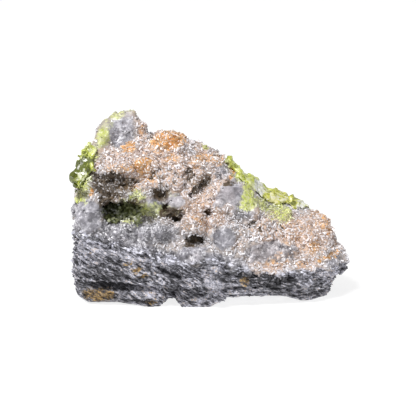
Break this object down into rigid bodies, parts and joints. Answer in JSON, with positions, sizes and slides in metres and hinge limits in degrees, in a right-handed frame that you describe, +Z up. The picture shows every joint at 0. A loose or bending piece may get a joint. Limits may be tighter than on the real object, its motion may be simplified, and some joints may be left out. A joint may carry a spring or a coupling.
{
  "type": "pyromorphite specimen",
  "caption": "Rough mineral specimen: green pyromorphite crystals on drusy, iron-stained vein quartz over a foliated gneiss base that rests flat.",
  "frame": {"origin": "centre of the bounding box's bottom face, on the ground the specimen rests on", "axes": "+X to the right along the length, as seen from the druse side; +Y to the crust-covered back; +Z up"},
  "size_m": [0.0912, 0.051, 0.0606],
  "materials": {
    "gneiss": "rough broken stone",
    "quartz": "sugary crystalline quartz with iron stain",
    "pyromorphite": "resinous crystals",
    "vug_pyromorphite": "resinous crystals in shade"
  },
  "bodies": {
    "root": {"gneiss_wall_rock": "gneiss", "vein_quartz": "quartz", "pyromorphite_crust": "pyromorphite", "vug_pyromorphite": "vug_pyromorphite"}
  },
  "joints": []
}
